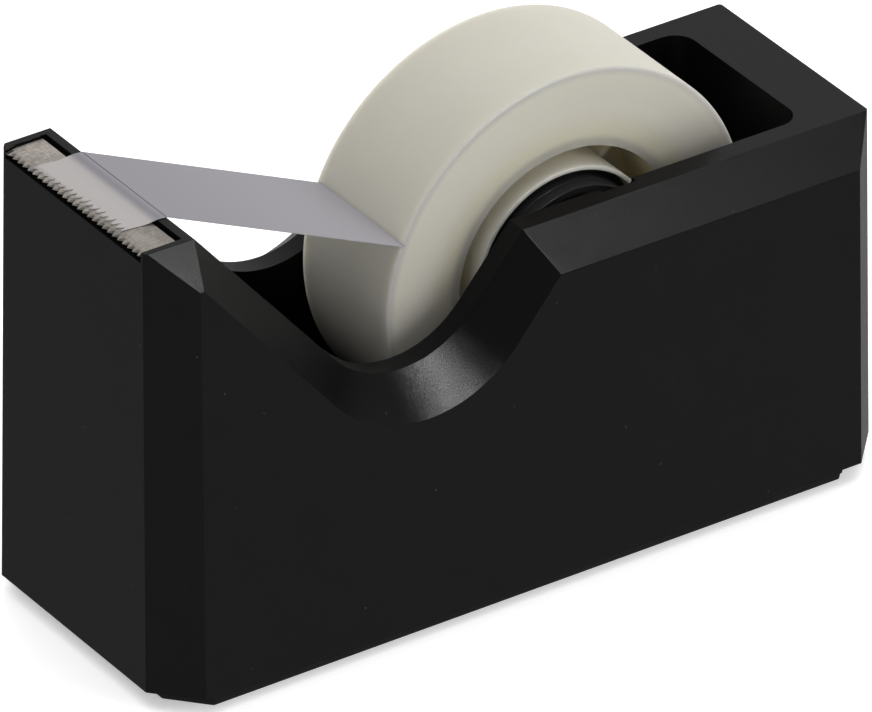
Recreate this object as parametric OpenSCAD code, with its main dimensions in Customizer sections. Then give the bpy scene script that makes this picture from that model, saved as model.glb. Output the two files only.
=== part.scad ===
// Weighted desk dispenser for one roll of tape: a moulded housing with a cutter at its nose
// and a hub that drops into two leaning slots. The nose points along -X and the desk is at z = 0.

/* [Housing] */
// Length of the housing at its lower edge
body_l = 110; // [108:0.5:130]
// Width of the housing at its lower edge
body_w = 44.5; // [44:0.5:60]
// Height of the nose above the desk
nose_h = 65; // [63:0.5:72]
// Length of the flat top of the nose
nose_l = 7.19; // [6.8:0.01:9]
// Height of the rear deck above the desk
deck_h = 50.1; // [46:0.1:54]
// Width of the flat top between the two long bevels
top_w = 32.4; // [30:0.1:36]
// Fall of the long bevels
bevel_a = 39.1; // [30:0.1:45]
// Lean of the outer walls for moulding
draft_a = 0.8; // [0.2:0.1:1.2]
// Upright corner chamfer, measured along the length
chamfer_l = 5.2; // [3:0.1:7]
// Upright corner chamfer, measured across the width
chamfer_w = 5.7; // [3:0.1:7]
// Thickness of the side walls
side_wall = 2.4; // [1.6:0.1:3]
// Thickness of the end walls
end_wall = 3.6; // [3.4:0.1:5]
// Height of the hollow under the housing
hollow_h = 34; // [24:0.5:36]

/* [Scoop] */
// How far the scoop's lowest line lies forward of the middle
scoop_fwd = 16.35; // [14:0.05:18]
// Height of the scoop's lowest line
scoop_low = 36.2; // [35:0.1:40]
// Radius of the scoop's floor
scoop_r = 13.35; // [10:0.05:15]
// Slope of the scoop's rear flank
scoop_a = 49.5; // [46:0.1:56]

/* [Well] */
// How far the well's front wall lies forward of the middle
well_fwd = 25; // [22:0.5:27]
// Distance from the well's rear wall to the back of the housing
well_back = 8.8; // [8:0.1:11]
// Width of the well
well_w = 26.6; // [26:0.1:28]
// Height of the well's floor
well_floor = 8; // [6:0.5:10]
// Radius of the well's upright corners
well_corner = 3; // [1:0.1:5]
// Thickness of the well's walls and floor under the deck
well_wall = 2.2; // [1.5:0.1:3]

/* [Tape] */
// Width of the tape
tape_w = 19; // [12:0.5:19]
// Outer diameter of the wound roll
roll_d = 54; // [40:0.5:56]
// Thickness of the free end
strip_t = 0.15; // [0.1:0.05:0.5]
// Where the free end leaves the roll, as an angle up from the rear
peel_a = 156.5; // [150:0.5:165]
// How far the free end reaches past the blade's bend
strip_over = 0.85; // [0:0.05:1.2]

/* [Core] */
// Bore of the core, which slides over the hub
core_bore = 25.4; // [20:0.1:26]
// Wall of the core's inner ring
core_wall = 0.55; // [0.4:0.05:1.5]
// Bore of the core's outer ring
ring_bore = 32.3; // [30:0.1:34]
// Wall of the core's outer ring
ring_wall = 1; // [0.6:0.1:2]
// How far the core lies inside the roll at each side
core_inset = 0.25; // [0.1:0.05:1]
// Thickness of the web between the two rings
core_web = 1.2; // [0.8:0.1:3]
// Number of ribs on each side of the web
core_ribs = 8; // [4:1:12]
// Height of those ribs above the web
core_rib_h = 3; // [1:0.1:4]
// Thickness of those ribs
core_rib_t = 0.8; // [0.5:0.1:1.5]

/* [Hub] */
// Distance from the roll's axis to the back of the housing
roll_x = 42.2; // [41:0.1:44]
// Height of the roll's axis above the desk
roll_h = 38.3; // [37:0.1:42]
// Diameter of the drum's ends, past the lead-in
hub_end_d = 23.2; // [18:0.1:23.6]
// Length of the drum
hub_w = 19.2; // [17:0.1:21]
// How far the lead-in starts from each end of the drum
hub_lead = 3.2; // [2:0.1:4]
// Length of the lead-in's cone
hub_cone = 1; // [0.5:0.1:2]
// Wall of the drum
hub_wall = 1.5; // [1:0.1:2.5]
// Thickness of the drum's web and its ribs
hub_web = 1.4; // [1:0.1:2]
// Number of ribs on each side of the drum's web
hub_ribs = 6; // [3:1:8]
// Length of the collar on each end cap
cap_collar = 1.65; // [1:0.05:1.8]
// Wall of that collar
cap_wall = 1; // [0.8:0.1:2]
// Depth that each end cap plugs into the drum
cap_plug = 2; // [1:0.1:3]
// Thickness of each end cap's web
cap_web = 1; // [0.8:0.1:1.5]
// Wall of the bosses round the axle
boss_wall = 1.6; // [1:0.1:2.5]

/* [Axle] */
// Diameter of the axle
axle_d = 4.6; // [3:0.1:5]
// Depth of the slots that hold the axle's ends
slot_depth = 0.9; // [0.7:0.1:1.4]
// Lean of the slots towards the rear
slot_a = 22; // [0:1:26]
// Chamfer on the axle's ends
axle_chamfer = 0.4; // [0.1:0.1:0.8]

/* [Cutter] */
// Number of teeth on the blade
tooth_n = 27; // [16:1:28]
// Distance from tooth to tooth
tooth_pitch = 1.12; // [0.8:0.02:1.16]
// Depth of the teeth
tooth_depth = 0.8; // [0.4:0.05:1.1]
// How far the tips stand out past the face of the nose
tip_out = 0.1; // [0:0.05:0.5]
// Length of the toothed lip in front of the bend
lip_l = 1.7; // [1.2:0.1:2]
// Fall of the toothed lip
lip_a = 10; // [4:1:20]
// Thickness of the blade
blade_t = 0.5; // [0.3:0.05:0.6]
// How far the blade lies below the rim
blade_drop = 0.35; // [0.1:0.05:0.6]
// Depth of the blade's rear flange
flange_h = 2.4; // [1:0.1:3]
// Rim behind the blade
rear_rim = 1.25; // [0.8:0.05:1.6]
// Drop of the front wall below the rim, under the teeth
front_drop = 1.5; // [1.4:0.1:2.4]

/* [Base] */
// Height of the housing's lower edge above the desk
base_h = 2.5; // [2.2:0.1:4]
// Thickness of the non-slip pad
pad_t = 1; // [0.5:0.1:1]
// How far the base lies inside the housing at each end
base_in_l = 2.7; // [1.8:0.1:2.8]
// How far the base lies inside the housing at each side
base_in_w = 1.4; // [0.8:0.1:1.6]
// How far the pad lies inside the base cover
pad_in = 0.25; // [0.1:0.05:1]
// Height of the cover's locating lip
lip_h = 1.5; // [1:0.1:2.5]
// Thickness of that lip
lip_t = 1.4; // [1:0.1:2]
// Thickness of the ballast plate under the well
plate_t = 3; // [1:0.1:3]
// Thread diameter of the cover screws
screw_d = 2.6; // [2:0.1:3]
// Length of the cover screws
screw_l = 9; // [6:0.5:12]
// Head diameter of the cover screws
head_d = 4.8; // [4:0.1:5]
// Height of the countersunk heads
head_h = 1.1; // [0.8:0.1:1.3]
// Outer diameter of the screw bosses
post_d = 5.4; // [5:0.1:6]
// Height of the screw bosses
post_h = 14; // [11:0.5:20]
// Thickness of the webs that tie the rear bosses to the well
post_web = 1.6; // [1:0.1:2]
// Distance of the screws from each end of the housing
screw_end = 9.5; // [8.5:0.1:12]
// Distance of the screws from each side of the housing
screw_side = 4.7; // [4.6:0.1:5]

/* [Hidden] */
$fn = 96;
// radial clearance of a turning fit, and gap between faces that pass each other
run_fit = 0.08;
// gap between pieces that seat in each other
seat_fit = 0.15;
// gap between the free end and what lies under or behind it
strip_fit = 0.3;
// gap between the free end and the blade and rim that it rests on
rest_fit = 0.05;
// gap between the core and the first turn of tape
wound_fit = 0.02;
// how far a flank stands above its tangent, so that it meets the round floor on a clean edge
tangent_step = 0.004;
// overrun of the cuts
over = body_w;

shell_h = nose_h - base_h;
fall = tan(bevel_a);
top_half = top_w / 2;
scoop_x = -scoop_fwd;
scoop_z = scoop_low + scoop_r;
roll_r = roll_d / 2;
slot_r = axle_d / 2 + run_fit;
axle_half = well_w / 2 + slot_depth - seat_fit;

axis_x = body_l / 2 - roll_x;
well_end = body_l / 2 - well_back;
nose_face = tan(draft_a) * shell_h - body_l / 2;
nose_back = nose_face + nose_l;
// the scoop's front flank falls from the nose and touches the round floor at this slope
nose_reach = [scoop_x - nose_back, nose_h - scoop_z];
front_a = atan2(nose_reach[1], nose_reach[0]) + asin(scoop_r / norm(nose_reach));
seat_back = nose_back - rear_rim;
blade_w = tooth_n * tooth_pitch;
blade_top = nose_h - blade_drop;
// the flange hangs in a groove one blade thickness and a seat gap wide
blade_back = seat_back - blade_t - seat_fit / 2;
blade_bend = nose_face - tip_out + lip_l * cos(lip_a);
seat_half = blade_w / 2 + seat_fit;
inner_half = body_w / 2 - side_wall;
inner_end = body_l / 2 - end_wall;
// the hollow keeps a well's wall below the bevel at the side walls
scoop_skin = (inner_half - top_half) * fall + well_wall;
screw_x = body_l / 2 - screw_end;
screw_y = body_w / 2 - screw_side;
post_r = post_d / 2;

// an eight-sided plan of a rectangle with cut corners
module plan(l, w, cl, cw, h) {
    linear_extrude(h)
        polygon([
            [-l / 2, cw - w / 2], [cl - l / 2, -w / 2], [l / 2 - cl, -w / 2], [l / 2, cw - w / 2],
            [l / 2, w / 2 - cw], [l / 2 - cl, w / 2], [cl - l / 2, w / 2], [-l / 2, w / 2 - cw]
        ]);
}

// a prism along an axis whose two sides lean in by the draft
module leaning_prism(size, depth) {
    lean = tan(draft_a) * shell_h;
    linear_extrude(depth, center = true)
        polygon([
            [-size / 2, base_h], [size / 2, base_h],
            [size / 2 - lean, nose_h], [lean - size / 2, nose_h]
        ]);
}

module corner_cut() {
    turn = atan2(chamfer_l, chamfer_w);
    lean = atan(tan(draft_a) * (cos(turn) + sin(turn)));
    translate([body_l / 2, body_w / 2 - chamfer_w, base_h])
        rotate([0, 0, turn])
            rotate([0, -lean, 0])
                translate([0, -over, -over])
                    cube([over, 2 * over, 2 * over + nose_h]);
}

// the space above one bevel, whose upper edge runs along +X from the origin
module above_bevel(l) {
    rotate([-bevel_a, 0, 0])
        cube([l, over, over]);
}

// two frames at the scoop's axis, each with +X up along its flank and the floor's edge at x = 0
module flanks() {
    for (flank = [[0, scoop_a], [1, front_a]])
        mirror([flank[0], 0, 0])
            rotate([0, -flank[1], 0])
                children();
}

// keeps what lies under the two radii that run from the scoop's axis to its tangent lines
module scoop_floor() {
    reach = nose_h + body_w;
    difference() {
        children();
        flanks()
            translate([0, -2 * reach, -2 * reach])
                cube([2 * reach, 4 * reach, 4 * reach]);
    }
}

module bevels() {
    translate([scoop_x, top_half, deck_h])
        above_bevel(body_l);
    translate([-body_l, top_half, nose_h])
        above_bevel(body_l + scoop_x);
    translate([scoop_x, 0, scoop_z]) {
        flanks()
            translate([0, top_half, tangent_step - scoop_r])
                above_bevel(body_l);
        scoop_floor()
            translate([0, top_half, 0])
                rotate([-90, 0, 0])
                    cylinder(h = over, r1 = scoop_r, r2 = scoop_r + over * fall);
    }
}

module scoop() {
    translate([scoop_x, 0, scoop_z]) {
        flanks()
            translate([0, -body_w / 2, tangent_step - scoop_r])
                cube([body_l, body_w, body_l]);
        scoop_floor()
            rotate([90, 0, 0])
                cylinder(h = body_w, r = scoop_r, center = true);
    }
    translate([scoop_x, -body_w / 2, deck_h])
        cube([body_l, body_w, nose_h]);
}

module outer_form() {
    difference() {
        intersection() {
            rotate([90, 0, 0])
                leaning_prism(body_l, body_w);
            rotate([90, 0, 90])
                leaning_prism(body_w, body_l);
        }
        for (mx = [0, 1])
            for (my = [0, 1])
                mirror([mx, 0, 0])
                    mirror([0, my, 0])
                        corner_cut();
        for (my = [0, 1])
            mirror([0, my, 0])
                bevels();
        scoop();
    }
}

// a box between two places along X, with round upright corners
module round_box(x0, x1, w, z0, z1, r) {
    translate([x0 + r, -w / 2, z0])
        cube([x1 - x0 - 2 * r, w, z1 - z0]);
    translate([x0, r - w / 2, z0])
        cube([x1 - x0, w - 2 * r, z1 - z0]);
    for (x = [x0 + r, x1 - r])
        for (y = [r - w / 2, w / 2 - r])
            translate([x, y, z0])
                cylinder(h = z1 - z0, r = r);
}

module well() {
    round_box(-well_fwd, well_end, well_w, well_floor, nose_h, well_corner);
}

module screw_places() {
    for (x = [-screw_x, screw_x])
        for (y = [-screw_y, screw_y])
            translate([x, y, 0])
                children();
}

// each rear boss is tied to the nearest corner of the well
module boss_webs() {
    corner_x = well_end - well_corner;
    corner_y = well_w / 2 - well_corner;
    low = well_floor - well_wall;
    turn = atan2(screw_y - corner_y, screw_x - corner_x);
    for (side = [-1, 1])
        translate([corner_x, side * corner_y, low])
            rotate([0, 0, side * turn])
                translate([0, -post_web / 2, 0])
                    cube([
                        norm([screw_x - corner_x, screw_y - corner_y]), post_web,
                        base_h + post_h - low
                    ]);
}

// the hollow is open below and goes round the well and under the scoop
module hollow() {
    difference() {
        translate([0, 0, base_h - over])
            plan(2 * inner_end, 2 * inner_half, chamfer_l, chamfer_w, hollow_h + over - base_h);
        translate([scoop_x, 0, scoop_z])
            rotate([90, 0, 0])
                cylinder(h = body_w, r = scoop_r + scoop_skin, center = true);
        round_box(
            -well_fwd - well_wall, well_end + well_wall, well_w + 2 * well_wall,
            well_floor - well_wall, nose_h, well_corner + well_wall
        );
        screw_places()
            translate([0, 0, base_h])
                cylinder(h = post_h, r = post_r);
        boss_webs();
    }
}

module axle_slots() {
    for (side = [-1, 1])
        translate([axis_x, side * (well_w / 2 + slot_depth / 2), roll_h])
            rotate([0, slot_a, 0]) {
                rotate([90, 0, 0])
                    cylinder(h = slot_depth, r = slot_r, center = true);
                translate([-slot_r, -slot_depth / 2, 0])
                    cube([2 * slot_r, slot_depth, nose_h]);
            }
}

module blade_seat() {
    groove = blade_t + 2 * seat_fit;
    // the recess under the flat of the blade
    translate([blade_bend, -seat_half, blade_top - blade_t])
        cube([seat_back - blade_bend, 2 * seat_half, over]);
    // the groove for the blade's rear flange
    translate([seat_back - groove, -seat_half, blade_top - flange_h - seat_fit])
        cube([groove, 2 * seat_half, over]);
    // the lowered front wall under the teeth
    translate([nose_face - over, -seat_half, nose_h - front_drop])
        cube([blade_bend - nose_face + over, 2 * seat_half, over]);
}

module housing() {
    color([0.09, 0.09, 0.095])
        difference() {
            outer_form();
            well();
            hollow();
            axle_slots();
            blade_seat();
            screw_places()
                cylinder(h = base_h + screw_l, d = screw_d + 2 * run_fit);
        }
}

module base_cover() {
    lip_l_out = 2 * (inner_end - seat_fit);
    lip_w_out = 2 * (inner_half - seat_fit);
    color([0.11, 0.11, 0.115])
        difference() {
            union() {
                translate([0, 0, pad_t])
                    plan(
                        body_l - 2 * base_in_l, body_w - 2 * base_in_w,
                        chamfer_l - base_in_w / 2, chamfer_w - base_in_w / 2, base_h - pad_t
                    );
                difference() {
                    translate([0, 0, pad_t])
                        plan(lip_l_out, lip_w_out, chamfer_l, chamfer_w, base_h - pad_t + lip_h);
                    translate([0, 0, base_h])
                        plan(
                            lip_l_out - 2 * lip_t, lip_w_out - 2 * lip_t,
                            chamfer_l, chamfer_w, over
                        );
                    screw_places()
                        translate([0, 0, base_h])
                            cylinder(h = over, r = post_r + seat_fit);
                }
            }
            screw_places() {
                cylinder(h = over, d = screw_d + 2 * seat_fit);
                translate([0, 0, pad_t])
                    cylinder(h = head_h, d1 = head_d + 2 * seat_fit, d2 = screw_d + 2 * seat_fit);
            }
        }
}

module foot_pad() {
    color([0.07, 0.07, 0.07])
        plan(
            body_l - 2 * (base_in_l + pad_in), body_w - 2 * (base_in_w + pad_in),
            chamfer_l - base_in_w / 2, chamfer_w - base_in_w / 2, pad_t
        );
}

// the casting fills the hollow of the nose, and its front is narrow to pass the screw bosses
module ballast_block() {
    low = base_h;
    high = hollow_h - 2 * seat_fit;
    back = -well_fwd - well_wall - 2 * seat_fit;
    side = inner_half - 2 * seat_fit - lip_t;
    step = post_r + 2 * seat_fit - screw_x;
    front = 2 * seat_fit + lip_t - inner_end;
    front_half = inner_half - chamfer_w - lip_t - seat_fit;
    color([0.35, 0.35, 0.36])
        difference() {
            union() {
                translate([step, -side, low])
                    cube([back - step, 2 * side, high - low]);
                translate([front, -front_half, low])
                    cube([back - front, 2 * front_half, high - low]);
            }
            translate([scoop_x, 0, scoop_z])
                rotate([90, 0, 0])
                    cylinder(h = body_w, r = scoop_r + scoop_skin + 2 * seat_fit, center = true);
        }
}

module ballast_plate() {
    inset = well_corner;
    color([0.5, 0.5, 0.52])
        translate([-well_fwd, -well_w / 2, base_h])
            cube([
                well_fwd + well_end - inset, well_w,
                min(plate_t, well_floor - well_wall - base_h - seat_fit)
            ]);
}

module cover_screws() {
    color([0.6, 0.6, 0.62])
        screw_places() {
            translate([0, 0, pad_t])
                cylinder(h = head_h, d1 = head_d, d2 = screw_d);
            translate([0, 0, pad_t])
                cylinder(h = screw_l, d = screw_d);
        }
}

// the points of a row of teeth along Y, from tips at x = 0 back to roots at x = depth
function teeth(n, depth) = [
    for (i = [0 : n - 1])
        each [[depth, (i - n / 2) * tooth_pitch], [0, (i + 0.5 - n / 2) * tooth_pitch]]
];

module cutter_blade() {
    tip_x = blade_bend - lip_l * cos(lip_a);
    // the folded sheet runs on past the tips, and the row of teeth trims it
    sheet_l = lip_l + tooth_depth;
    end_x = blade_bend - sheet_l * cos(lip_a);
    end_z = blade_top - sheet_l * sin(lip_a);
    back = blade_back + blade_t;
    under = blade_top - blade_t;
    low = blade_top - flange_h;
    color([0.78, 0.77, 0.75])
        intersection() {
            rotate([90, 0, 0])
                linear_extrude(blade_w, center = true)
                    polygon([
                        [end_x, end_z],
                        [end_x + blade_t * sin(lip_a), end_z - blade_t * cos(lip_a)],
                        [blade_bend + blade_t * tan(lip_a / 2), under],
                        [blade_back, under], [blade_back, low], [back, low], [back, blade_top],
                        [blade_bend, blade_top]
                    ]);
            translate([tip_x, 0, 0])
                linear_extrude(2 * nose_h)
                    polygon(concat(
                        teeth(tooth_n, tooth_depth),
                        [[tooth_depth, over], [body_l, over], [body_l, -over]],
                        [[tooth_depth, -over]]
                    ));
        }
}

module axle() {
    straight = 2 * (axle_half - axle_chamfer);
    color([0.7, 0.7, 0.72])
        translate([axis_x, 0, roll_h])
            rotate([90, 0, 0]) {
                cylinder(h = straight, d = axle_d, center = true);
                for (flip = [0, 1])
                    mirror([0, 0, flip])
                        translate([0, 0, straight / 2])
                            cylinder(
                                h = axle_chamfer, d1 = axle_d, d2 = axle_d - 2 * axle_chamfer
                            );
            }
}

// the free end lies on the blade and the rim, then falls straight to the roll
module tape_strip() {
    teeth_in_tape = floor(tape_w / tooth_pitch / 2) * 2;
    front = blade_bend - strip_over;
    reach = roll_r + strip_fit;
    end_x = axis_x + reach * cos(peel_a);
    end_z = roll_h + reach * sin(peel_a);
    rim_z = nose_h + rest_fit;
    line = [
        [front, blade_top + rest_fit], [seat_back, rim_z], [nose_back, rim_z], [end_x, end_z]
    ];
    upper = [for (i = [3 : -1 : 0]) line[i] + [0, strip_t]];
    color([0.8, 0.8, 0.82, 0.6])
        intersection() {
            rotate([90, 0, 0])
                linear_extrude(tape_w, center = true)
                    polygon(concat(line, upper));
            translate([front, 0, 0])
                linear_extrude(2 * nose_h)
                    polygon(concat(
                        [[tooth_depth, -tape_w / 2]],
                        teeth(teeth_in_tape, tooth_depth),
                        [
                            [tooth_depth, teeth_in_tape * tooth_pitch / 2],
                            [tooth_depth, tape_w / 2],
                            [body_l, tape_w / 2], [body_l, -tape_w / 2]
                        ]
                    ));
        }
}

// turns a profile of [radius, place across the width] round the roll's axis
module turned(points) {
    translate([axis_x, 0, roll_h])
        rotate([90, 0, 0])
            rotate_extrude()
                polygon(points);
}

// flat ribs that stand on both sides of a web and join two rings
module spokes(n, inner, outer, t, h) {
    translate([axis_x, 0, roll_h])
        rotate([90, 0, 0])
            for (i = [0 : n - 1])
                rotate([0, 0, i * 360 / n])
                    translate([inner, -t / 2, -h / 2])
                        cube([outer - inner, t, h]);
}

module hub_drum() {
    big = core_bore / 2 - run_fit;
    small = hub_end_d / 2;
    bore = small - hub_wall;
    half = hub_w / 2;
    axle_r = axle_d / 2 + run_fit;
    boss = axle_r + boss_wall;
    web = hub_web / 2;
    boss_half = half - cap_plug - seat_fit;
    color([0.1, 0.1, 0.105]) {
        turned([
            [axle_r, -boss_half], [boss, -boss_half], [boss, -web], [bore, -web], [bore, -half],
            [small, -half], [small, -half + hub_lead - hub_cone], [big, -half + hub_lead],
            [big, half - hub_lead], [small, half - hub_lead + hub_cone], [small, half],
            [bore, half], [bore, web], [boss, web], [boss, boss_half], [axle_r, boss_half]
        ]);
        spokes(
            hub_ribs, (axle_r + boss) / 2, (bore + small) / 2, hub_web, 2 * (boss_half - seat_fit)
        );
    }
}

module hub_cap() {
    half = hub_w / 2;
    rim = hub_end_d / 2 - seat_fit / 2;
    plug = hub_end_d / 2 - hub_wall - run_fit;
    axle_r = axle_d / 2 + run_fit;
    boss = axle_r + boss_wall;
    face = half + cap_collar;
    color([0.12, 0.12, 0.125])
        turned([
            [axle_r, half - cap_plug], [boss, half - cap_plug], [boss, half - cap_web],
            [plug - cap_wall, half - cap_web], [plug - cap_wall, half - cap_plug],
            [plug, half - cap_plug], [plug, half], [rim, half], [rim, face],
            [rim - cap_wall, face], [rim - cap_wall, half], [axle_r, half]
        ]);
}

module hub_cap_near() {
    hub_cap();
}

module hub_cap_far() {
    mirror([0, 1, 0])
        hub_cap();
}

module tape_core() {
    half = tape_w / 2 - core_inset;
    inner = core_bore / 2;
    ring = ring_bore / 2;
    web = core_web / 2;
    color([0.93, 0.92, 0.86]) {
        turned([
            [inner, -half], [inner + core_wall, -half], [inner + core_wall, -web], [ring, -web],
            [ring, -half], [ring + ring_wall, -half], [ring + ring_wall, half], [ring, half],
            [ring, web], [inner + core_wall, web], [inner + core_wall, half], [inner, half]
        ]);
        spokes(
            core_ribs, inner + core_wall / 2, ring + ring_wall / 2, core_rib_t,
            core_web + 2 * core_rib_h
        );
    }
}

module tape_winding() {
    bore = ring_bore / 2 + ring_wall + wound_fit;
    color([0.95, 0.95, 0.9])
        turned([
            [bore, -tape_w / 2], [roll_r, -tape_w / 2], [roll_r, tape_w / 2], [bore, tape_w / 2]
        ]);
}

housing();
base_cover();
foot_pad();
ballast_block();
ballast_plate();
cover_screws();
cutter_blade();
axle();
tape_strip();
hub_drum();
hub_cap_near();
hub_cap_far();
tape_core();
tape_winding();
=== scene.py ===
"""Finishes a weighted desk tape dispenser: its pieces, their materials and a small studio.

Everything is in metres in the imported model's own frame. The nose points along -X, the axle
lies along Y, and the desk is the plane Z = 0.
"""

import math

import bmesh
import bpy
from bpy.props import FloatProperty, FloatVectorProperty, IntProperty, PointerProperty
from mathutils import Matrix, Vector


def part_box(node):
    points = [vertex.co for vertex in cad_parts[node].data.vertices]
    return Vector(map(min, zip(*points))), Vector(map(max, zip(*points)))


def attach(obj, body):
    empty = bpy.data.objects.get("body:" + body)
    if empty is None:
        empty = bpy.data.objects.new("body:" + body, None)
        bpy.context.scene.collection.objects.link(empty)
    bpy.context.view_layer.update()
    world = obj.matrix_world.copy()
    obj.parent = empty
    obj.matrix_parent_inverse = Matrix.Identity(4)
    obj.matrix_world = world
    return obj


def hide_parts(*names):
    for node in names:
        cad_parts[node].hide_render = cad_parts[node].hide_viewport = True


bl_info = {
    "name": "Desk Tape Dispenser",
    "version": (1, 0, 0),
    "blender": (4, 5, 0),
    "location": "3D View > Sidebar > Dispenser",
    "description": "Finishes the packed tape dispenser and sets up its studio",
    "category": "Object",
}

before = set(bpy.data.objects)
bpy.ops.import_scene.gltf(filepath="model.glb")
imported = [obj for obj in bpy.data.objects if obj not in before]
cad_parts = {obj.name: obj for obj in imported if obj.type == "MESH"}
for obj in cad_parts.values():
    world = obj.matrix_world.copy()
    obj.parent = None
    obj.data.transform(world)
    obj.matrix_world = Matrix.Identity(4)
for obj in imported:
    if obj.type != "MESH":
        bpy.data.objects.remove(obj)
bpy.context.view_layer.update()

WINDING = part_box("tape_winding")
ROLL_CENTRE = (WINDING[0] + WINDING[1]) / 2
ROLL_RADIUS = (WINDING[1].x - WINDING[0].x) / 2
TAPE_WIDTH = WINDING[1].y - WINDING[0].y
NOSE_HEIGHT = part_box("housing")[1].z
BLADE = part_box("cutter_blade")

# Places on the nose and its blade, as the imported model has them: along X from the teeth to the
# nose's rear rim, then up Z, then the fall of the blade's lip and the width of a tooth
BLADE_FRONT, BLADE_REAR = BLADE[0].x, BLADE[1].x
BEND = -0.05255
GROOVE_FRONT = -0.04899
REAR_RIM = -0.04694
NOSE_TOP = 0.06
LIP_MIDDLE = 0.0641
LIP_FALL = math.radians(10.0)
TOOTH = 0.00112

# What is ground off the teeth's tips, and how far the front wall of the groove moves
TIP_REACH = 0.0002
TIP_LIFT = 0.0004
GROOVE_SHIFT = Vector((-0.0005, 0.0, 0.0))

# Corners closer than the first are one corner, and those closer than the second lie in one wall
SAME_CORNER = 6e-6
SAME_WALL = 2e-5

# The roll: its soft corners, its bore's gap to the core, how its first turns stand over the
# core's rim, and the radii between which its side turns from a painted olive shade to cream
ROLL_CORNER = 0.0003
BORE_GAP = 0.00002
RIM_DEPTH = 0.00098
RIM_INSET = 0.00023
INNER_TURNS = 0.0172, 0.0215

# The free end: its height over what it lies on, where it leaves the roll, how far it was pulled
# to one side, its lanes, four for each tooth, and how deep it is torn in each of the four
FILM_GAP = 0.00005
FILM_ON_BLADE = BLADE[1].z + FILM_GAP
PEEL_ANGLE = math.radians(156.5)
PULLED_AT_TEETH = 0.00045
PULLED_BACK = 0.001
LANES = 4 * 17
NOTCH = 0.0, 0.25, 1.0, 0.4

# Colours that are not among the properties, each from its darker to its paler spots
RUBBER = (0.006, 0.006, 0.006), (0.012, 0.012, 0.011)
CAST_IRON = (0.07, 0.068, 0.066), (0.13, 0.125, 0.12)
# A painted amber glow for the shaded recess inside the core's outer ring
PAINTED_AMBER_GLOW = (0.80, 0.71, 0.48), (0.88, 0.79, 0.54)
PAPER = (0.88, 0.88, 0.88), (0.9, 0.9, 0.9)

# The studio: its white light, where the camera stands and looks, and what the lamps face
WHITE = (1.0, 1.0, 1.0)
CAMERA_PLACE = (-0.85913, -1.26757, 0.95379)
CAMERA_TURN = math.radians(34.116)
CAMERA_DIP = math.radians(31.260)
LAMP_TARGET = (0.0, 0.0, 0.04)


# Sizes and colours


class HousingFinish(bpy.types.PropertyGroup):
    """The moulded housing and its base."""

    edge: FloatProperty(
        name="Edge radius",
        description="Radius of the moulded edges",
        default=0.00022,
        unit="LENGTH",
    )
    colour: FloatVectorProperty(
        name="Plastic",
        description="Colour of the black plastic",
        default=(0.0032, 0.0032, 0.0036),
        subtype="COLOR",
        size=3,
    )
    shine: FloatProperty(
        name="Shine",
        description="Index that sets how strongly the plastic reflects; its texture keeps it low",
        default=1.175,
    )
    grain: FloatProperty(
        name="Grain",
        description="Size of the fine spark texture on the plastic",
        default=0.00016,
        unit="LENGTH",
    )
    grain_depth: FloatProperty(
        name="Grain depth",
        description="Depth of the spark texture",
        default=0.00004,
        unit="LENGTH",
    )
    dust: FloatVectorProperty(
        name="Dust",
        description="Colour of the few pale specks on the plastic",
        default=(0.045, 0.043, 0.04),
        subtype="COLOR",
        size=3,
    )
    dust_spacing: FloatProperty(
        name="Dust spacing",
        description="Distance from one speck to the next",
        default=0.0035,
        unit="LENGTH",
    )
    dust_size: FloatProperty(
        name="Dust size",
        description="Size of a speck",
        default=0.00028,
        unit="LENGTH",
    )


class MetalFinish(bpy.types.PropertyGroup):
    """The blade and the other steel pieces."""

    colour: FloatVectorProperty(
        name="Steel",
        description="Colour of the blade's steel",
        default=(0.385, 0.352, 0.318),
        subtype="COLOR",
        size=3,
    )
    edge: FloatProperty(
        name="Burr",
        description="Radius of the blade's stamped edges",
        default=0.00004,
        unit="LENGTH",
    )
    scratch: FloatProperty(
        name="Scratch width",
        description="Width of the fine marks that the belt leaves",
        default=0.00018,
        unit="LENGTH",
    )


class TapeFinish(bpy.types.PropertyGroup):
    """The roll, its core and the free end."""

    winding: FloatVectorProperty(
        name="Winding",
        description="Colour of the wound tape",
        default=(0.485, 0.467, 0.41),
        subtype="COLOR",
        size=3,
    )
    core: FloatVectorProperty(
        name="Core",
        description="Colour of the core's plastic",
        default=(0.74, 0.72, 0.64),
        subtype="COLOR",
        size=3,
    )
    film: FloatVectorProperty(
        name="Film",
        description="Colour of the frosted film where nothing touches it",
        default=(0.215, 0.206, 0.224),
        subtype="COLOR",
        size=3,
    )
    # Painted light and shade: the film's paler tone on the blade stands in for the lit steel
    # showing through it, its darker one for the shaded groove and rim.
    film_on_steel: FloatVectorProperty(
        name="Film on steel",
        description="Colour of the film where it sticks to the blade",
        default=(0.38, 0.361, 0.356),
        subtype="COLOR",
        size=3,
    )
    film_on_black: FloatVectorProperty(
        name="Film on black",
        description="Colour of the film over the groove and the rim",
        default=(0.205, 0.198, 0.218),
        subtype="COLOR",
        size=3,
    )
    glow: FloatProperty(
        name="Glow",
        description="How far light spreads inside the wound tape and its core",
        default=0.003,
        unit="LENGTH",
    )
    film_thickness: FloatProperty(
        name="Film thickness",
        description="Thickness of the free end",
        default=0.00006,
        unit="LENGTH",
    )
    curl: FloatProperty(
        name="Curl",
        description="Radius in which the film turns onto the roll",
        default=0.00015,
        unit="LENGTH",
    )
    steps: IntProperty(
        name="Steps",
        description="Faces round the roll",
        default=240,
        min=48,
    )


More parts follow.
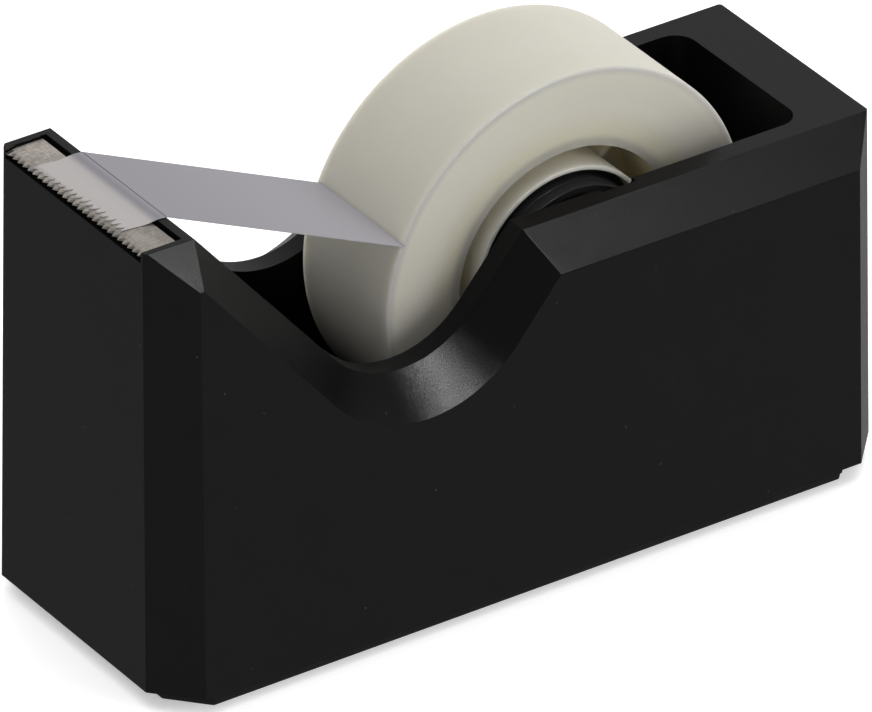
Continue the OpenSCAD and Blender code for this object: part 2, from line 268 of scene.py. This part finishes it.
class StudioSettings(bpy.types.PropertyGroup):
    """The camera and the lamps."""

    lens: FloatProperty(
        name="Lens",
        description="Focal length of the camera in millimetres",
        default=588.53,
    )
    ceiling: FloatProperty(
        name="Ceiling",
        description="Power of the large lamp overhead",
        default=22.5,
        unit="POWER",
    )
    bevel: FloatProperty(
        name="Bevel lamp",
        description="Power of the narrow lamp that lights the bevels",
        default=8.5,
        unit="POWER",
    )
    side: FloatProperty(
        name="Side lamp",
        description="Power of the lamp at the camera's side",
        default=7.8,
        unit="POWER",
    )
    front: FloatProperty(
        name="Front lamp",
        description="Power of the lamp before the nose",
        default=2.4,
        unit="POWER",
    )
    surround: FloatProperty(
        name="Surround",
        description="Brightness of the studio's walls",
        default=0.84,
    )


# Materials


class Amount:
    """A varying amount in a material, so that a pattern can be written as a formula."""

    def __init__(self, finish, socket):
        self.finish = finish
        self.socket = socket

    def maths(self, operation, *others):
        values = dict(enumerate((self, *others)))
        return self.finish.node("Math", {"operation": operation}, values)

    def __add__(self, other):
        return self.maths("ADD", other)

    __radd__ = __add__

    def __sub__(self, other):
        return self.maths("SUBTRACT", other)

    def __rsub__(self, other):
        return self * -1.0 + other

    def __mul__(self, other):
        return self.maths("MULTIPLY", other)

    __rmul__ = __mul__

    def __truediv__(self, other):
        return self.maths("DIVIDE", other)

    def __pow__(self, other):
        return self.maths("POWER", other)

    def __abs__(self):
        return self.maths("ABSOLUTE")

    def step(self, low, high):
        """0 below low, 1 above high, and smooth between them."""
        values = {"Value": self, "From Min": low, "From Max": high}
        return self.finish.node("MapRange", {"interpolation_type": "SMOOTHSTEP"}, values)

    def blend(self, start, end):
        """The colour that lies this far from start to end. Either may be a blend itself."""
        return self.finish.node("Mix", {"data_type": "RGBA"}, {0: self, 6: start, 7: end}, 2)


class Pattern:
    """A node tree to which nodes are added one by one."""

    def __init__(self, tree, shader):
        self.tree = tree
        self.shader = tree.nodes[shader]

    def fill(self, slot, value):
        """Gives a socket its link, colour or number."""
        if isinstance(value, Amount):
            self.tree.links.new(value.socket, slot)
        elif slot.type == "RGBA":
            slot.default_value = (*value, 1.0)
        else:
            slot.default_value = value

    def node(self, kind, settings, values, output=0):
        """Adds a shader node: its settings first, then the values or links of its sockets."""
        made = self.tree.nodes.new("ShaderNode" + kind)
        for name, setting in settings.items():
            setattr(made, name, setting)
        for name, value in values.items():
            self.fill(made.inputs[name], value)
        return Amount(self, made.outputs[output])

    def set(self, **values):
        """Sets the shader's sockets; a name's underscores stand for spaces."""
        for name, value in values.items():
            self.fill(self.shader.inputs[name.replace("_", " ")], value)


class Finish(Pattern):
    """A material whose pattern is laid out in metres from a centre on the object."""

    def __init__(self, name, centre=(0.0, 0.0, 0.0)):
        self.material = bpy.data.materials.new(name)
        self.material.use_nodes = True
        super().__init__(self.material.node_tree, "Principled BSDF")
        self.centre = Vector(centre)
        self.coords = self.node("TexCoord", {}, {}, "Object")

    def place(self, scale=(1.0, 1.0, 1.0)):
        """Object coordinates from the centre, with each axis scaled."""
        start = [-c * s for c, s in zip(self.centre, scale)]
        return self.node("Mapping", {}, {"Vector": self.coords, "Scale": scale, "Location": start})

    def along(self, axis):
        """The distance from the centre along one axis, in metres."""
        return self.node("SeparateXYZ", {}, {0: self.place()}, axis)

    def radius(self):
        """The distance from the line through the centre along Y, in metres."""
        x, z = self.along("X"), self.along("Z")
        return (x * x + z * z) ** 0.5

    def noise(self, size, detail=2.0, roughness=0.5, stretch=(1.0, 1.0, 1.0), at=None):
        """Noise from 0 to 1 with spots of that size, stretched along each axis."""
        if at is None:
            vector, scale = self.place([1.0 / (size * s) for s in stretch]), 1.0
        else:
            vector, scale = self.node("CombineXYZ", {}, {"X": at}), 1.0 / size
        values = {"Vector": vector, "Scale": scale, "Detail": detail, "Roughness": roughness}
        return self.node("TexNoise", {}, values, "Fac")

    def specks(self, spacing, size):
        """1 on small specks of that size, far apart, and 0 between them."""
        values = {"Vector": self.place([1.0 / spacing] * 3), "Scale": 1.0}
        away = self.node("TexVoronoi", {}, values, "Distance") * spacing
        return 1.0 - away.step(size * 0.3, size * 0.5)

    def bump(self, height, depth):
        """Raises the surface by depth where height is 1."""
        values = {"Strength": 1.0, "Distance": depth, "Height": height}
        self.set(Normal=self.node("Bump", {}, values, "Normal"))


def shade(colour, share):
    """A colour made lighter or darker by a share."""
    return tuple(c * share for c in colour)


def moulded_plastic(name, look, lift=1.0, gloss=0.19, grained=1.0):
    """Black plastic with the fine spark texture of its mould."""
    finish = Finish(name)
    fine = finish.noise(look.grain, detail=3.0, roughness=0.6)
    coarse = finish.noise(0.006)
    black = shade(look.colour, lift)
    plain = (coarse * 0.6 + fine * 0.4).blend(shade(black, 0.75), shade(black, 1.3))
    specks = finish.specks(look.dust_spacing, look.dust_size)
    finish.set(
        Base_Color=specks.blend(plain, look.dust),
        Roughness=fine * 0.1 + coarse * 0.04 + (gloss - 0.07),
        IOR=look.shine,
    )
    finish.bump(fine, look.grain_depth * grained)
    return finish.material


def brushed_steel(name, look, tone=1.0, gloss=0.32, toothed=False):
    """Steel sheet with short belt marks along and across it, and ridged teeth with painted shade.
    """
    finish = Finish(name)
    marks = finish.noise(look.scratch, detail=4.0, roughness=0.7, stretch=(9.0, 1.0, 4.0))
    cross = finish.noise(look.scratch, detail=3.0, roughness=0.7, stretch=(1.0, 7.0, 4.0))
    cloud = finish.noise(0.0035)
    wear = marks * 0.45 + cross * 0.35 + cloud * 0.2
    steel = shade(look.colour, tone)
    tint = wear.step(0.40, 0.62).blend(shade(steel, 0.6), shade(steel, 1.16))
    height, depth = marks * 0.7 + cross * 0.3, 0.000006
    if toothed:
        # The blade is darker towards its near end, and its teeth carry painted shade: a little
        # darker on the whole, darkest in the valleys between their ridges.
        darker_near_end = 1.0 - finish.along("Y").step(-0.012, 0.008)
        point = 1.0 - finish.along("X").step(BLADE_FRONT + 0.0004, BLADE_FRONT + 0.0012)
        valley = finish.along("Y").maths("PINGPONG", TOOTH / 2) / (TOOTH / 2)
        teeth_shade_and_darker_end = darker_near_end * 0.3 + point * (valley * 0.35 + 0.05)
        tint = teeth_shade_and_darker_end.blend(tint, shade(steel, 0.16))
        height, depth = height * 0.05 - point * valley, 0.00012
    finish.set(
        Base_Color=tint,
        Metallic=1.0,
        Roughness=marks * 0.16 + cloud * 0.08 + (gloss - 0.1),
    )
    finish.bump(height, depth)
    return finish.material


def plain_rubber(name):
    """The non-slip pad, dull and slightly dusty."""
    finish = Finish(name)
    fine = finish.noise(0.0005, detail=3.0)
    cloud = finish.noise(0.008)
    finish.set(
        Base_Color=cloud.blend(*RUBBER),
        Roughness=fine * 0.1 + 0.78,
        Specular_IOR_Level=0.2,
    )
    finish.bump(fine, 0.00003)
    return finish.material


def cast_metal(name):
    """The rough skin of the hidden weight."""
    finish = Finish(name)
    grit = finish.noise(0.0009, detail=5.0, roughness=0.65)
    cloud = finish.noise(0.007)
    finish.set(
        Base_Color=cloud.blend(*CAST_IRON),
        Metallic=0.85,
        Roughness=grit * 0.25 + 0.5,
    )
    finish.bump(grit, 0.00015)
    return finish.material


def wound_tape(name, look):
    """Frosted film in many turns: fine rings on the sides, painted grey shade at the outer
    corners.
    """
    finish = Finish(name, ROLL_CENTRE)
    radius = finish.radius()
    turns = finish.noise(0.00022, detail=3.0, roughness=0.7, at=radius)
    bands = finish.noise(0.0016, at=radius)
    cloud = finish.noise(0.012)
    fine = finish.noise(0.0004)
    tint = (turns * 0.25 + bands * 0.35 + cloud * 0.3 + fine * 0.1).step(0.25, 0.75)
    cream = tint.blend(shade(look.winding, 0.955), shade(look.winding, 1.03))
    # Painted shade: the turns near the bore are painted the olive tint of the tape in shade.
    olive = tuple(c * k for c, k in zip(look.winding, (1.0, 0.98, 0.87)))
    near_bore = tint.blend(shade(olive, 0.94), shade(olive, 1.03))
    body = radius.step(*INNER_TURNS).blend(near_bore, cream)
    # Painted shade: the outer corners are painted a darker bluish grey, to tone down the light
    # that they catch.
    side = abs(finish.along("Y")).step(TAPE_WIDTH / 2 - 0.0004, TAPE_WIDTH / 2 - 0.0001)
    painted_corner_shade = side * radius.step(ROLL_RADIUS - 0.0014, ROLL_RADIUS - 0.0004) * 0.6
    corner_shade_grey = shade((0.95, 0.955, 0.97), 0.32)
    finish.set(
        Base_Color=painted_corner_shade.blend(body, corner_shade_grey),
        Roughness=fine * 0.08 + 0.55,
        Specular_IOR_Level=0.15,
        Subsurface_Weight=1.0,
        Subsurface_Radius=(1.0, 0.98, 0.9),
        Subsurface_Scale=look.glow,
    )
    finish.bump(turns * 0.8 + bands * 0.2, 0.00002)
    return finish.material


def milky_plastic(name, look):
    """The core's plastic, with a painted amber glow in the recess inside its outer ring."""
    finish = Finish(name, ROLL_CENTRE)
    cloud = finish.noise(0.004)
    inner = cloud.blend(shade(look.core, 0.95), shade(look.core, 1.05))
    # Painted glow: the shaded recess between the rings and inside the outer ring is painted amber.
    amber_glow = cloud.blend(*PAINTED_AMBER_GLOW)
    sideways = abs(finish.along("Y")).step(0.004, 0.0095)
    inside = sideways.step(0.93, 1.0).blend(amber_glow, shade(look.core, 0.9))
    outer = finish.radius().step(0.01655, 0.0168).blend(inside, look.core)
    finish.set(
        Base_Color=finish.radius().step(0.0139, 0.0158).blend(inner, outer),
        Roughness=cloud * 0.1 + 0.36,
        Specular_IOR_Level=0.45,
        Subsurface_Weight=1.0,
        Subsurface_Radius=(1.0, 1.0, 1.0),
        Subsurface_Scale=look.glow * 0.5,
    )
    finish.bump(finish.noise(0.0011), 0.00001)
    return finish.material


def frosted_film(name, look):
    """The free end: a matte film, painted pale where it sticks to lit steel and grey over a shaded
    gap, with painted shade and light along it.
    """
    finish = Finish(name)
    fine = finish.noise(0.0003)
    along = finish.along("X")
    # Painted light and shade: paler where the lit steel shows through, darker over the shaded
    # groove and rim.
    over_groove = along.step(BLADE_REAR - 0.0010, BLADE_REAR + 0.0003)
    nose = over_groove.blend(look.film_on_steel, look.film_on_black)
    # Painted light: the free span grows paler towards the roll.
    free = along.step(REAR_RIM, -0.013).blend(look.film, shade(look.film, 1.2))
    whole = along.step(REAR_RIM - 0.00001, REAR_RIM + 0.00001).blend(nose, free)
    # Painted shade: a dark line where the film crosses the rim's rear edge.
    beside_crease = abs(along - REAR_RIM).step(0.00004, 0.00013)
    finish.set(
        Base_Color=beside_crease.blend(shade(look.film, 0.2), whole),
        Roughness=fine * 0.08 + 0.52,
        Specular_IOR_Level=0.3,
        Alpha=along.step(REAR_RIM - 0.001, REAR_RIM) * 0.25 + 0.75,
    )
    finish.bump(fine, 0.000003)
    return finish.material


# Meshes


def mesh_of(form, name):
    """A mesh from a bmesh, which is freed."""
    mesh = bpy.data.meshes.new(name)
    form.to_mesh(mesh)
    form.free()
    return mesh


def add_piece(mesh, name, body, material, slot, *nodes):
    """Puts a finished mesh on its body in place of CAD nodes."""
    mesh.name = name
    piece = bpy.data.objects.new(name, mesh)
    bpy.context.scene.collection.objects.link(piece)
    mesh.materials.clear()
    mesh.materials.append(material)
    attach(piece, body)
    if nodes:
        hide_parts(*nodes)
    return piece


def smooth(piece, angle=35.0):
    """Smooth shading, sharp only at edges over that angle, with flat faces kept flat."""
    piece.data.shade_smooth()
    piece.data.set_sharp_from_angle(angle=math.radians(angle))
    weighted = piece.modifiers.new("Even shading", "WEIGHTED_NORMAL")
    weighted.keep_sharp = True
    return piece


def merged_copy(node):
    """A CAD node's form as a bmesh with shared corners and whole flat faces."""
    form = bmesh.new()
    form.from_mesh(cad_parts[node].data)
    bmesh.ops.remove_doubles(form, verts=form.verts, dist=SAME_CORNER)
    bmesh.ops.dissolve_limit(
        form, angle_limit=math.radians(0.3), verts=form.verts, edges=form.edges, delimit=set()
    )
    return form


def break_edges(form, width, angle, segments):
    """Rounds the edges over that angle, as a mould or a press leaves them."""
    sharp = [
        edge
        for edge in form.edges
        if len(edge.link_faces) == 2 and edge.calc_face_angle(0.0) > math.radians(angle)
    ]
    bmesh.ops.bevel(
        form,
        geom=sharp,
        offset=width,
        offset_type="OFFSET",
        affect="EDGES",
        segments=segments,
        profile=0.5,
        material=-1,
        clamp_overlap=True,
        loop_slide=True,
    )
    return form


def shift(form, chosen, move):
    """Moves the corners that are chosen by their place."""
    corners = [corner for corner in form.verts if chosen(corner.co)]
    bmesh.ops.translate(form, verts=corners, vec=move)


def widen_groove(form):
    """Moves the front wall of the groove behind the blade forward, to show its depth."""
    shift(
        form,
        lambda at: abs(at.x - GROOVE_FRONT) < SAME_WALL and at.z > NOSE_TOP,
        GROOVE_SHIFT,
    )


def sharpen_teeth(form):
    """Grinds the teeth to thin tips, and sets the rear flange in the widened groove."""
    underside = [face for face in form.faces if face.normal.z < -0.9]
    bmesh.ops.triangulate(form, faces=underside)
    tips = BLADE_FRONT + TIP_REACH
    shift(form, lambda at: at.x < tips and at.z < LIP_MIDDLE, (0.0, 0.0, TIP_LIFT))
    shift(form, lambda at: at.x > GROOVE_FRONT, GROOVE_SHIFT)


def dress(node, name, body, material, slot, width, segments=2, angle=30.0, shape=None):
    """A CAD node with broken edges and its material, in the node's place."""
    form = merged_copy(node)
    if shape:
        shape(form)
    break_edges(form, width, angle, segments)
    return smooth(add_piece(mesh_of(form, name), name, body, material, slot, node))


def turned_form(profile, steps):
    """Turns a closed profile of (radius, place along Y) points round the roll's axis."""
    form = bmesh.new()
    corners = [
        form.verts.new((ROLL_CENTRE.x + radius, ROLL_CENTRE.y + across, ROLL_CENTRE.z))
        for radius, across in profile
    ]
    edges = [form.edges.new(pair) for pair in zip(corners, corners[1:] + corners[:1])]
    bmesh.ops.spin(
        form,
        geom=corners + edges,
        cent=ROLL_CENTRE,
        axis=(0.0, 1.0, 0.0),
        angle=math.tau,
        steps=steps,
        use_merge=True,
        use_duplicate=False,
    )
    bmesh.ops.remove_doubles(form, verts=form.verts, dist=1e-7)
    bmesh.ops.recalc_face_normals(form, faces=form.faces)
    return form


def rounded(centre, radius, start, end, count):
    """Points along an arc, from start to end in degrees."""
    turns = [math.radians(start + (end - start) * i / count) for i in range(count + 1)]
    return [(centre[0] + radius * math.cos(t), centre[1] + radius * math.sin(t)) for t in turns]


def winding_form(bore, look):
    """The wound tape: a ring with soft outer corners, whose first turns hide the core's rim."""
    half, teeth_shade_and_darker_end = TAPE_WIDTH / 2, ROLL_CORNER
    corner, rim, inset = ROLL_RADIUS - teeth_shade_and_darker_end, bore - RIM_DEPTH, half - RIM_INSET
    profile = [(bore, -inset), (rim, -inset), (rim, -half)]
    profile += rounded((corner, teeth_shade_and_darker_end - half), teeth_shade_and_darker_end, -90, 0, 8)
    profile += rounded((corner, half - teeth_shade_and_darker_end), teeth_shade_and_darker_end, 0, 90, 8)
    profile += [(rim, half), (rim, inset), (bore, inset)]
    return turned_form(profile, look.steps)


def strip_path(look):
    """The free end's underside behind the blade's bend, as (x, z) points up to the roll."""
    rim = NOSE_HEIGHT + FILM_GAP
    meet = ROLL_CENTRE + Vector((math.cos(PEEL_ANGLE), 0.0, math.sin(PEEL_ANGLE))) * ROLL_RADIUS
    turn = look.curl
    # From the blade over the groove to the rear rim
    points = [
        (BLADE_REAR - 0.0022, FILM_ON_BLADE),
        (BLADE_REAR - 0.0012, FILM_ON_BLADE + 0.00006),
        (BLADE_REAR - 0.0002, rim - 0.00006),
        (BLADE_REAR + 0.0003, rim),
        (REAR_RIM - 0.0001, rim),
        (REAR_RIM + 0.0001, rim - 0.00004),
    ]
    # Straight down to the roll
    fall = Vector((meet.x - REAR_RIM, 0.0, meet.z - rim)).normalized()
    stop = meet - fall * turn
    for share in (0.03, 0.1, 0.3, 0.5, 0.7, 0.85, 0.94):
        points.append((REAR_RIM + (stop.x - REAR_RIM) * share, rim + (stop.z - rim) * share))
    # The tight turn onto the roll
    outward = (meet - ROLL_CENTRE).normalized()
    upward = Vector((outward.z, 0.0, -outward.x))
    centre = meet + (outward + upward) * turn
    for step in range(8):
        angle = math.radians(90.0 * step / 8)
        spot = centre - upward * turn * math.cos(angle) - outward * turn * math.sin(angle)
        points.append((spot.x, spot.z))
    # A short end that sinks into the roll
    for share, lift in ((1.0, -0.00001), (1.5, -0.0001)):
        angle, reach = PEEL_ANGLE - share * turn / ROLL_RADIUS, ROLL_RADIUS + lift
        spot = ROLL_CENTRE + Vector((math.cos(angle), 0.0, math.sin(angle))) * reach
        points.append((spot.x, spot.z))
    return points


def torn_edge(lane):
    """Where the film's front edge lies along X: notched at each tooth, deeper to one side."""
    share = lane / LANES
    uneven = 1.0 + 0.2 * math.sin(lane // 4 * 2.3)
    depth = 0.0003 + 0.0009 * min(share * 1.8, 1.0)
    return BLADE_FRONT + 0.0006 + 0.0005 * share + depth * NOTCH[lane % 4] * uneven


def drift(x):
    """How far the film lies to one side there, because it was pulled across by hand."""
    behind = min(max((x - BLADE_FRONT) / (REAR_RIM - BLADE_FRONT), 0.0), 1.0)
    return PULLED_AT_TEETH - PULLED_BACK * behind


def strip_form(look):
    """The free end as a thin sheet, torn along the blade's teeth."""
    form = bmesh.new()
    places = [TAPE_WIDTH * (0.5 - lane / LANES) for lane in range(LANES + 1)]
    front = [torn_edge(lane) for lane in range(LANES + 1)]
    fall = math.tan(LIP_FALL)
    first = [
        form.verts.new((x, y + drift(x), FILM_ON_BLADE - max(BEND - x, 0.0) * fall))
        for x, y in zip(front, places)
    ]
    rows = [[(max(x + 0.0001, BEND), FILM_ON_BLADE) for x in front]]
    rows += [[spot] * (LANES + 1) for spot in strip_path(look)]
    edges = [form.edges.new(pair) for pair in zip(first, first[1:])]
    for row in rows:
        made = bmesh.ops.extrude_edge_only(form, edges=edges)["geom"]
        corners = [item for item in made if isinstance(item, bmesh.types.BMVert)]
        edges = [item for item in made if isinstance(item, bmesh.types.BMEdge)]
        corners.sort(key=lambda corner: -corner.co.y)
        for corner, (x, z), y in zip(corners, row, places):
            corner.co = (x, y + drift(x), z)
    bmesh.ops.recalc_face_normals(form, faces=form.faces)
    if sum(face.normal.z for face in form.faces) < 0:
        bmesh.ops.reverse_faces(form, faces=form.faces)
    return form


# Operators


class DISPENSER_OT_housing(bpy.types.Operator):
    """Finish the moulded housing, the cover plate and the non-slip pad"""

    bl_idname = "dispenser.housing"
    bl_label = "Housing and Base"

    def execute(self, context):
        look = context.scene.dispenser_housing
        black = moulded_plastic("Black moulded plastic", look)
        plate = moulded_plastic("Cover plastic", look, lift=1.2, gloss=0.45)
        rubber = plain_rubber("Pad rubber")
        dress(
            "housing",
            "moulded_housing",
            "base",
            black,
            "housing_plastic",
            look.edge,
            angle=20.0,
            shape=widen_groove,
        )
        dress("base_cover", "cover_plate", "base", plate, "cover_plastic", look.edge)
        dress("foot_pad", "rubber_pad", "base", rubber, "pad_rubber", look.edge)
        return {"FINISHED"}


class DISPENSER_OT_blade(bpy.types.Operator):
    """Finish the toothed blade"""

    bl_idname = "dispenser.blade"
    bl_label = "Blade"

    def execute(self, context):
        look = context.scene.dispenser_metal
        steel = brushed_steel("Blade steel", look, toothed=True)
        dress(
            "cutter_blade",
            "toothed_blade",
            "base",
            steel,
            "blade_steel",
            look.edge,
            segments=1,
            angle=20.0,
            shape=sharpen_teeth,
        )
        return {"FINISHED"}


class DISPENSER_OT_weights(bpy.types.Operator):
    """Give the hidden weights, screws and axle their metals"""

    bl_idname = "dispenser.weights"
    bl_label = "Weights, Screws and Axle"

    def execute(self, context):
        look = context.scene.dispenser_metal
        sheet = brushed_steel("Weight sheet", look, tone=0.7, gloss=0.45)
        screw = brushed_steel("Screw steel", look, tone=0.85, gloss=0.3)
        cast = cast_metal("Cast weight")
        dress(
            "ballast_block",
            "cast_weight",
            "base",
            cast,
            "ballast_iron",
            width=0.0008,
            segments=3,
        )
        dress("ballast_plate", "sheet_weight", "base", sheet, "ballast_steel", width=0.0002)
        dress("cover_screws", "countersunk_screws", "base", screw, "screw_steel", width=0.0001)
        dress("axle", "axle_pin", "spindle", screw, "axle_steel", width=0.00008)
        return {"FINISHED"}


class DISPENSER_OT_hub(bpy.types.Operator):
    """Finish the drum and its two end caps"""

    bl_idname = "dispenser.hub"
    bl_label = "Hub"

    def execute(self, context):
        look = context.scene.dispenser_housing
        dark = moulded_plastic("Hub plastic", look, lift=5.0, gloss=0.3, grained=0.25)
        dress("hub_drum", "drum", "roll", dark, "hub_plastic", width=0.00012)
        dress("hub_cap_near", "end_cap_near", "roll", dark, "hub_plastic", width=0.0001)
        dress("hub_cap_far", "end_cap_far", "roll", dark, "hub_plastic", width=0.0001)
        return {"FINISHED"}


class DISPENSER_OT_roll(bpy.types.Operator):
    """Make the wound tape and finish its core"""

    bl_idname = "dispenser.roll"
    bl_label = "Tape Roll"

    def execute(self, context):
        look = context.scene.dispenser_tape
        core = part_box("tape_core")
        bore = (core[1].x - core[0].x) / 2 + BORE_GAP
        wound = wound_tape("Wound tape", look)
        mesh = mesh_of(winding_form(bore, look), "wound_tape")
        smooth(add_piece(mesh, "wound_tape", "roll", wound, "tape_roll", "tape_winding"), 50.0)
        plastic = milky_plastic("Core plastic", look)
        dress("tape_core", "core_rings", "roll", plastic, "core_plastic", width=0.0001)
        return {"FINISHED"}


class DISPENSER_OT_strip(bpy.types.Operator):
    """Lay the free end of the tape from the roll to the blade"""

    bl_idname = "dispenser.strip"
    bl_label = "Free End"

    def execute(self, context):
        look = context.scene.dispenser_tape
        film = frosted_film("Frosted film", look)
        mesh = mesh_of(strip_form(look), "free_end")
        piece = add_piece(mesh, "free_end", "spindle", film, "tape_film", "tape_strip")
        thick = piece.modifiers.new("Film thickness", "SOLIDIFY")
        thick.thickness = look.film_thickness
        thick.offset = 1.0
        piece.data.shade_smooth()
        piece.visible_shadow = False
        return {"FINISHED"}


def lamp(name, place, size, power, soft=True, shine=True):
    """A square soft lamp that faces the object, to light its surfaces or to shine on them."""
    data = bpy.data.lights.new(name, "AREA")
    data.size = size
    data.energy = power
    light = bpy.data.objects.new(name, data)
    bpy.context.scene.collection.objects.link(light)
    light.location = place
    towards = (Vector(LAMP_TARGET) - Vector(place)).normalized()
    light.rotation_euler = towards.to_track_quat("-Z", "Y").to_euler()
    light.visible_diffuse = soft
    light.visible_glossy = shine


class DISPENSER_OT_studio(bpy.types.Operator):
    """Set up the floor, the lamps and the camera"""

    bl_idname = "dispenser.studio"
    bl_label = "Studio"

    def execute(self, context):
        look = context.scene.dispenser_studio
        form = bmesh.new()
        bmesh.ops.create_grid(form, x_segments=8, y_segments=8, size=6.0)
        floor = bpy.data.objects.new("studio_floor", mesh_of(form, "studio_floor"))
        context.scene.collection.objects.link(floor)
        paper = Finish("Floor paper")
        cloud = paper.noise(0.4)
        paper.set(
            Base_Color=cloud.blend(*PAPER),
            Roughness=0.9,
            Specular_IOR_Level=0.1,
            Emission_Color=WHITE,
            Emission_Strength=0.4,
        )
        floor.data.materials.append(paper.material)
        floor.visible_glossy = False

        world = bpy.data.worlds.new("Studio walls")
        context.scene.world = world
        world.use_nodes = True
        walls = Pattern(world.node_tree, "Background")
        # Above the horizon they are brightest towards +X and +Y, and below it towards -Y
        facing = walls.node("TexCoord", {}, {}, "Generated")
        x, y, z = (walls.node("SeparateXYZ", {}, {0: facing}, axis) for axis in "XYZ")
        high = (x + y).step(-0.3, 0.9) * 0.88 + 0.35
        low = 1.0 - y.step(-0.4, 0.4) * 0.56
        above = z.step(0.0, 0.45)
        strength = (high * above + low * (1.0 - above)) * look.surround
        walls.set(Color=WHITE, Strength=strength)

        lamp("Ceiling lamp", (0.1, 0.3, 1.6), 2.2, look.ceiling, shine=False)
        lamp("Side lamp", (0.9, -1.3, 0.7), 0.9, look.side, shine=False)
        lamp("Front lamp", (-0.8, -0.4, 0.9), 0.9, look.front, shine=False)
        lamp("Bevel lamp", (0.05, -0.3, 0.55), 0.16, look.bevel, soft=False)

        data = bpy.data.cameras.new("Camera")
        data.sensor_width = 36.0
        data.lens = look.lens
        data.clip_start, data.clip_end = 0.05, 30.0
        camera = bpy.data.objects.new("Camera", data)
        context.scene.collection.objects.link(camera)
        camera.location = CAMERA_PLACE
        level = math.cos(CAMERA_DIP)
        ahead = Vector(
            (math.sin(CAMERA_TURN) * level, math.cos(CAMERA_TURN) * level, -math.sin(CAMERA_DIP))
        )
        camera.rotation_euler = ahead.to_track_quat("-Z", "Y").to_euler()
        context.scene.camera = camera
        context.scene.view_settings.view_transform = "Standard"
        return {"FINISHED"}


class DISPENSER_PT_panel(bpy.types.Panel):
    """The steps, in the order in which they are run"""

    bl_idname = "DISPENSER_PT_panel"
    bl_label = "Tape Dispenser"
    bl_space_type = "VIEW_3D"
    bl_region_type = "UI"
    bl_category = "Dispenser"

    def draw(self, context):
        for step in STEPS:
            self.layout.operator(step.bl_idname)
        for group in GROUPS:
            settings = getattr(context.scene, group)
            box = self.layout.box()
            for name in GROUPS[group].__annotations__:
                box.prop(settings, name)


STEPS = (
    DISPENSER_OT_housing,
    DISPENSER_OT_blade,
    DISPENSER_OT_weights,
    DISPENSER_OT_hub,
    DISPENSER_OT_roll,
    DISPENSER_OT_strip,
    DISPENSER_OT_studio,
)
GROUPS = {
    "dispenser_housing": HousingFinish,
    "dispenser_metal": MetalFinish,
    "dispenser_tape": TapeFinish,
    "dispenser_studio": StudioSettings,
}


def register():
    for group, kind in GROUPS.items():
        bpy.utils.register_class(kind)
        setattr(bpy.types.Scene, group, PointerProperty(type=kind))
    for kind in (*STEPS, DISPENSER_PT_panel):
        bpy.utils.register_class(kind)


def unregister():
    for kind in (DISPENSER_PT_panel, *reversed(STEPS)):
        bpy.utils.unregister_class(kind)
    for group, kind in GROUPS.items():
        delattr(bpy.types.Scene, group)
        bpy.utils.unregister_class(kind)


def main():
    register()
    bpy.ops.dispenser.housing()
    bpy.ops.dispenser.blade()
    bpy.ops.dispenser.weights()
    bpy.ops.dispenser.hub()
    bpy.ops.dispenser.roll()
    bpy.ops.dispenser.strip()
    bpy.ops.dispenser.studio()


if __name__ == "__main__":
    main()
